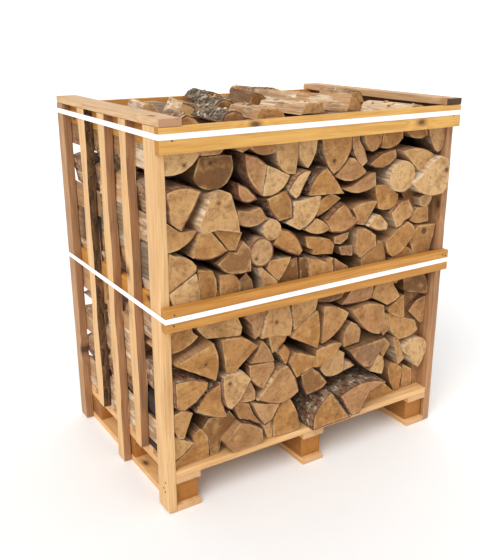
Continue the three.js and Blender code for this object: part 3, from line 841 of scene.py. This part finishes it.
def look_of(outline, index):
    chance = random.Random(index * 7919 + 11)
    by_the_side = min(x for x, _ in outline) < STACK_LEFT + SIDE_REACH
    by_the_side = by_the_side or max(x for x, _ in outline) > STACK_RIGHT - SIDE_REACH
    return {
        "seed": index * 0.617 + 1.3,
        "tone": chance.uniform(*ROW_TONES),
        "grey": chance.choice(ROW_GREYS),
        "barked": None,
        "wrapped": False,
        "knot": NO_KNOT,
        # Painted shade inside the stack; beside a side panel, paler or shaded at random
        "shade": chance.choice(SIDE_SHADES) if by_the_side else STACK_SHADE,
        "swell": SWELL,
        "lump": 0,
        "taper": 0,
    }


def front_look(outline, index):
    """The look of a log whose end is noted on the front."""
    look = look_of(outline, index)
    if noted(outline, PALE_ENDS):
        look["tone"] = PALE_TONE + TONE_STEP * (index % 2)
    if noted(outline, DARK_ENDS):
        look["tone"] = DARK_TONE + TONE_STEP * (index % 2)
    if noted(outline, ORANGE_ENDS):
        look["tone"] = ORANGE_TONE
    if noted(outline, BARKED_ENDS):
        look["barked"] = True
    if noted(outline, BARE_ENDS):
        look["barked"] = False
    if noted(outline, PALE_SIDES):
        look["shade"] = PALE_SIDE_SHADE
    if noted(outline, GREY_BARKS):
        look.update(GREY_BARK)
    look["knot"] = noted(outline, END_KNOTS) or NO_KNOT
    return look


def log_rows():
    front_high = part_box("log_row_front")[1]
    back_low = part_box("log_row_back")[0]
    front_ends = [
        (outline, start) for outline, start in end_faces("log_row_front", FORWARD)
        if front_high.y - start > LOG_DEPTH_LEAST
    ]
    front = Logs()
    for i, (outline, start) in enumerate(front_ends):
        front.add(outline, start, front_high.y, FORWARD, ROW_DETAIL, front_look(outline, i))
    front.finish("front_logs", ["log_row_front"])

    back = Logs()
    for i, (outline, start) in enumerate(end_faces("log_row_back", -FORWARD)):
        if -back_low.y - start > LOG_DEPTH_LEAST:
            back.add(outline, start, -back_low.y, -FORWARD, ROW_DETAIL, look_of(outline, i + BACK_SEEDS))
    back.finish("back_logs", ["log_row_back"])

    middle = Logs()
    middle_low, middle_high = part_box("log_row_middle")
    for i, (outline, _) in enumerate(front_ends):
        mirrored = [(-x, z) for x, z in reversed(outline)]
        look = look_of(mirrored, i + MIDDLE_SEEDS)
        middle.add(mirrored, middle_low.y, middle_high.y, FORWARD, CORE_DETAIL, look)
    middle.finish("middle_logs", ["log_row_middle"])


def loose_logs():
    """The logs on top, each along its own length."""
    heap = []
    for node in sorted(n for n in frame["nodes"] if n.startswith("top_log_")):
        form = merged(node)
        sawn = [face for face in form.faces if abs(face.normal.z) < 0.001 and face.normal.y < 0]
        axis = -max(sawn, key=lambda face: face.calc_area()).normal
        form.free()
        outline, start = end_faces(node, axis)[0]
        number = int(node[-2:])
        look = look_of(outline, number + HEAP_SEEDS)
        look["tone"], look["grey"], look["barked"] = HEAP_LOOKS[number]
        look["shade"] = 0
        look["swell"] = 0
        look["lump"] = HEAP_LUMP
        look["taper"] = HEAP_TAPER
        stop = max(corner.co.dot(axis) for corner in frame["nodes"][node].data.vertices)
        log = Logs()
        log.add(outline, start, stop, axis, HEAP_DETAIL, look)
        heap.append(log.finish(node + "_split", [node]))
    return heap


def chips(heap):
    """Splinters and flakes of bark on the upper sides of the heap."""
    repeat = Repeat("chips", {"Density": "Float", "Length": "Float", "Width": "Float", "Seed": "Int"})
    given = repeat.given
    facing = repeat.node("GeometryNodeInputNormal", {}, {})
    height = repeat.node("ShaderNodeSeparateXYZ", {}, {0: facing}, 2)
    level = repeat.node("FunctionNodeCompare", {"operation": "GREATER_THAN"}, {0: height, 1: CHIP_LEVEL})
    scattered = repeat.tree.nodes.new("GeometryNodeDistributePointsOnFaces")
    for name, socket in (
        ("Mesh", given["Geometry"]), ("Selection", level), ("Density", given["Density"]),
        ("Seed", given["Seed"]),
    ):
        repeat.tree.links.new(socket, scattered.inputs[name])
    size = repeat.node(
        "ShaderNodeCombineXYZ", {}, {"X": given["Length"], "Y": given["Width"], "Z": CHIP_THICK},
    )
    chip = repeat.node("GeometryNodeMeshCube", {}, {"Size": size, "Vertices X": 5})
    place = repeat.node("GeometryNodeInputPosition", {}, {})
    along = repeat.node("ShaderNodeSeparateXYZ", {}, {0: place}, 0)
    squared = repeat.node("ShaderNodeMath", {"operation": "MULTIPLY"}, {0: along, 1: along})
    curl = repeat.node("ShaderNodeMath", {"operation": "MULTIPLY"}, {0: squared, 1: CHIP_CURL})
    lift = repeat.node("ShaderNodeCombineXYZ", {}, {"Z": curl})
    curled = repeat.node("GeometryNodeSetPosition", {}, {"Geometry": chip, "Offset": lift})
    spin = repeat.node(
        "FunctionNodeRandomValue", {"data_type": "FLOAT_VECTOR"},
        {0: (0, 0, -math.pi), 1: (0, 0, math.pi), "Seed": given["Seed"]},
    )
    spin = repeat.node("FunctionNodeEulerToRotation", {}, {0: spin})
    turn = repeat.node(
        "FunctionNodeRotateRotation", {"rotation_space": "LOCAL"},
        {"Rotation": scattered.outputs["Rotation"], "Rotate By": spin},
    )
    grow = repeat.node(
        "FunctionNodeRandomValue", {"data_type": "FLOAT_VECTOR"},
        {0: CHIP_SIZES[0], 1: CHIP_SIZES[1], "Seed": given["Seed"]},
    )
    repeat.close(repeat.node(
        "GeometryNodeInstanceOnPoints", {},
        {"Points": scattered.outputs["Points"], "Instance": curled, "Rotation": turn, "Scale": grow},
    ))

    form = bmesh.new()
    for log in heap:
        form.from_mesh(log.data)
    top = bpy.data.meshes.new("heap_top")
    form.to_mesh(top)
    form.free()
    finishes = {
        "pale_splinters": chip_wood("pale_splinter", "ecca96", "c08f56"),
        "bark_flakes": chip_wood("bark_flake", "8a6444", "4a3020"),
    }
    for kind in CHIPS:
        values = {label.capitalize(): kind[label] for label in ("density", "length", "width", "seed")}
        mesh = repeat.made(top, {**values, "Finish": finishes[kind["name"]]})
        add_piece(kind["name"], mesh)


# Timber


def board_knots(node, low, high, axis, wide, index):
    """Where the knots of a board are, along it and across its width."""
    if node in BOARD_KNOTS and "rail" in node:
        return [(CRATE_LEFT + x * MM, z * MM) for x, z in BOARD_KNOTS[node]]
    if node in BOARD_KNOTS:
        return [(z * MM, CRATE_FRONT + y * MM) for y, z in BOARD_KNOTS[node]]
    chance = random.Random(index * 17 + 3)
    span = (high - low).dot(axis)
    count = max(1, round(span / KNOT_PITCH))
    return [
        (low.dot(axis) + span * chance.random(), low.dot(wide) + (high - low).dot(wide) * chance.random())
        for _ in range(count)
    ]


def sawn_board(node, slot, index):
    """A board with eased edges and worn faces, in place of its solid."""
    low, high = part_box(node)
    size = high - low
    axis, wide, thick = sorted((ACROSS, FORWARD, UP), key=lambda way: -size.dot(way))
    form = merged(node)
    bmesh.ops.dissolve_limit(
        form, angle_limit=math.radians(0.5), verts=form.verts, edges=form.edges, delimit=set(),
    )
    sharp = [edge for edge in form.edges if edge.is_manifold and edge.calc_face_angle() > math.radians(30)]
    bmesh.ops.bevel(
        form, geom=sharp, offset=BOARD_EDGE, offset_type="OFFSET", segments=2,
        profile=0.6, affect="EDGES", clamp_overlap=True,
    )
    span = size.dot(axis)
    cuts = max(2, round(span / BOARD_CUTS))
    for cut in range(1, cuts):
        bmesh.ops.bisect_plane(
            form, geom=form.verts[:] + form.edges[:] + form.faces[:],
            plane_co=low + axis * span * cut / cuts, plane_no=axis, dist=0.00001,
        )
    form.normal_update()
    drift = Vector((index * 2.31, index * 0.37, index * 0.53))
    wane = SLAT_WANE if slot == "slat_wood" else BOARD_WORN
    for corner in form.verts:
        worn = 0.5 + 0.5 * noise.noise(corner.co * BOARD_WEAR_PITCH + drift)
        corner.co -= corner.normal * BOARD_WORN * worn
        over = corner.normal.dot(wide)
        if abs(over) > 0.2:
            side = math.copysign(1, over)
            narrower = noise.noise(axis * corner.co.dot(axis) * WANE_PITCH + drift * side)
            corner.co -= wide * side * wane * max(0, narrower)
    # The inner faces of the right-hand slats take the painted shade of the slats' sides
    in_shade = node.startswith("right_") and slot == "slat_wood"
    for face in form.faces:
        face.smooth = True
        face.material_index = FACES
        if abs(face.normal.dot(axis)) > 0.9:
            face.material_index = ENDS
        elif in_shade and abs(face.normal.x) > 0.7:
            face.material_index = SIDES if face.normal.x < 0 else FACES
        elif abs(face.normal.dot(wide)) > 0.7:
            face.material_index = SIDES
    mesh = bpy.data.meshes.new(node + "_timber")
    kind = BLOCK_TIMBER if node.startswith("block") else TIMBER[slot]
    for material in ODD_TIMBER.get(node, kind):
        mesh.materials.append(material)
    form.to_mesh(mesh)
    form.free()
    mesh.set_sharp_from_angle(angle=BOARD_CREASE)

    grain = []
    for corner in mesh.vertices:
        grain += (corner.co.dot(axis) + drift.x, corner.co.dot(wide), corner.co.dot(thick))
    spots = board_knots(node, low, high, axis, wide, index)
    knots = []
    for face in mesh.polygons:
        here = (face.center.dot(axis), face.center.dot(wide))
        along, over = min(spots, key=lambda spot: math.dist(spot, here), default=FAR_AWAY)
        knots += (along + drift.x, over, 0)
    store(mesh, "grain", "FLOAT_VECTOR", grain)
    store(mesh, "knot", "FLOAT_VECTOR", knots, "FACE")
    store(mesh, "tone", "FLOAT", [random.Random(index * 31).random()] * len(mesh.vertices))
    add_piece(node + "_timber", mesh, [node])


def boards():
    slots = {entry["node"]: entry["material_slot"] for entry in frame["record"]["subparts"]}
    for index, (node, slot) in enumerate(sorted(slots.items())):
        if slot in TIMBER:
            sawn_board(node, slot, index + 1)


def nail_places():
    """Where the nails are driven, each with the way its head faces."""
    places = []
    rail_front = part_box("front_rail_upper")[0].y
    rail_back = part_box("back_rail_upper")[1].y
    for x, z in RAIL_NAILS:
        places.append((Vector((CRATE_LEFT + x * MM, rail_front, z * MM)), -FORWARD))
        inside = max(-BACK_NAIL_REACH, min(BACK_NAIL_REACH, CRATE_LEFT + x * MM))
        places.append((Vector((inside, rail_back, z * MM)), FORWARD))
    for y, z in POST_NAILS:
        for side in (-1, 1):
            places.append((Vector((side * -CRATE_LEFT, CRATE_FRONT + y * MM, z * MM)), ACROSS * side))
    return places


def nails():
    """Nail heads, one for each place they are driven."""
    repeat = Repeat("nail_heads", {"Head Radius": "Float", "Head Height": "Float"})
    radius = repeat.given["Head Radius"]
    head = repeat.node(
        "GeometryNodeMeshCone", {},
        {
            "Vertices": 12, "Radius Top": radius, "Radius Bottom": radius,
            "Depth": repeat.given["Head Height"],
        },
    )
    facing = repeat.node(
        "GeometryNodeInputNamedAttribute", {"data_type": "FLOAT_VECTOR"}, {"Name": "facing"},
    )
    turn = repeat.node("FunctionNodeAlignRotationToVector", {"axis": "Z"}, {"Vector": facing})
    repeat.close(repeat.node(
        "GeometryNodeInstanceOnPoints", {},
        {"Points": repeat.given["Geometry"], "Instance": head, "Rotation": turn},
    ))

    places = nail_places()
    points = bpy.data.meshes.new("nail_points")
    points.from_pydata([place for place, _ in places], [], [])
    store(points, "facing", "FLOAT_VECTOR", [c for _, way in places for c in way])
    values = {"Head Radius": NAIL_RADIUS, "Head Height": 2 * NAIL_STANDS, "Finish": nail_steel()}
    add_piece("nail_heads", repeat.made(points, values))


def straps():
    plastic = strap_plastic()
    for node in ("strap_upper", "strap_middle"):
        for holder in frame["nodes"][node].material_slots:
            holder.link = "OBJECT"
            holder.material = plastic


def studio():
    """A pale floor that turns up all round, an even sky and two soft lights."""
    points = []
    faces = [tuple(range(FLOOR_STEPS))]
    for ring, (radius, height) in enumerate(FLOOR_PROFILE):
        for step in range(FLOOR_STEPS):
            turn = 2 * math.pi * step / FLOOR_STEPS
            points.append((radius * math.cos(turn), radius * math.sin(turn), height))
            if ring:
                a = (ring - 1) * FLOOR_STEPS
                b = ring * FLOOR_STEPS
                after = (step + 1) % FLOOR_STEPS
                faces.append((a + step, b + step, b + after, a + after))
    mesh = bpy.data.meshes.new("floor")
    mesh.from_pydata(points, [], faces)
    mesh.shade_smooth()
    mesh.materials.append(plain_floor())
    floor = bpy.data.objects.new("floor", mesh)
    bpy.context.scene.collection.objects.link(floor)

    world = bpy.data.worlds.new("pale_studio")
    world.use_nodes = True
    world.node_tree.nodes["Background"].inputs["Color"].default_value = (1, 1, 1, 1)
    world.node_tree.nodes["Background"].inputs["Strength"].default_value = SKY
    bpy.context.scene.world = world
    bpy.context.scene.view_settings.view_transform = "Standard"
    for sun in SUNS:
        lamp = bpy.data.lights.new(sun["name"], "SUN")
        lamp.energy = sun["strength"]
        lamp.angle = sun["spread"]
        light = bpy.data.objects.new(sun["name"], lamp)
        light.rotation_euler = Vector(sun["way"]).to_track_quat("Z", "Y").to_euler()
        bpy.context.scene.collection.objects.link(light)


def camera():
    lens = bpy.data.cameras.new("camera")
    lens.lens = CAMERA_LENS
    view = bpy.data.objects.new("camera", lens)
    back = Vector((
        math.sin(CAMERA_AZIMUTH) * math.cos(CAMERA_ELEVATION),
        -math.cos(CAMERA_AZIMUTH) * math.cos(CAMERA_ELEVATION),
        math.sin(CAMERA_ELEVATION),
    ))
    view.location = CAMERA_PLACE
    view.rotation_euler = (-back).to_track_quat("-Z", "Y").to_euler()
    bpy.context.scene.collection.objects.link(view)
    bpy.context.scene.camera = view


camera()
studio()
boards()
log_rows()
chips(loose_logs())
straps()
nails()
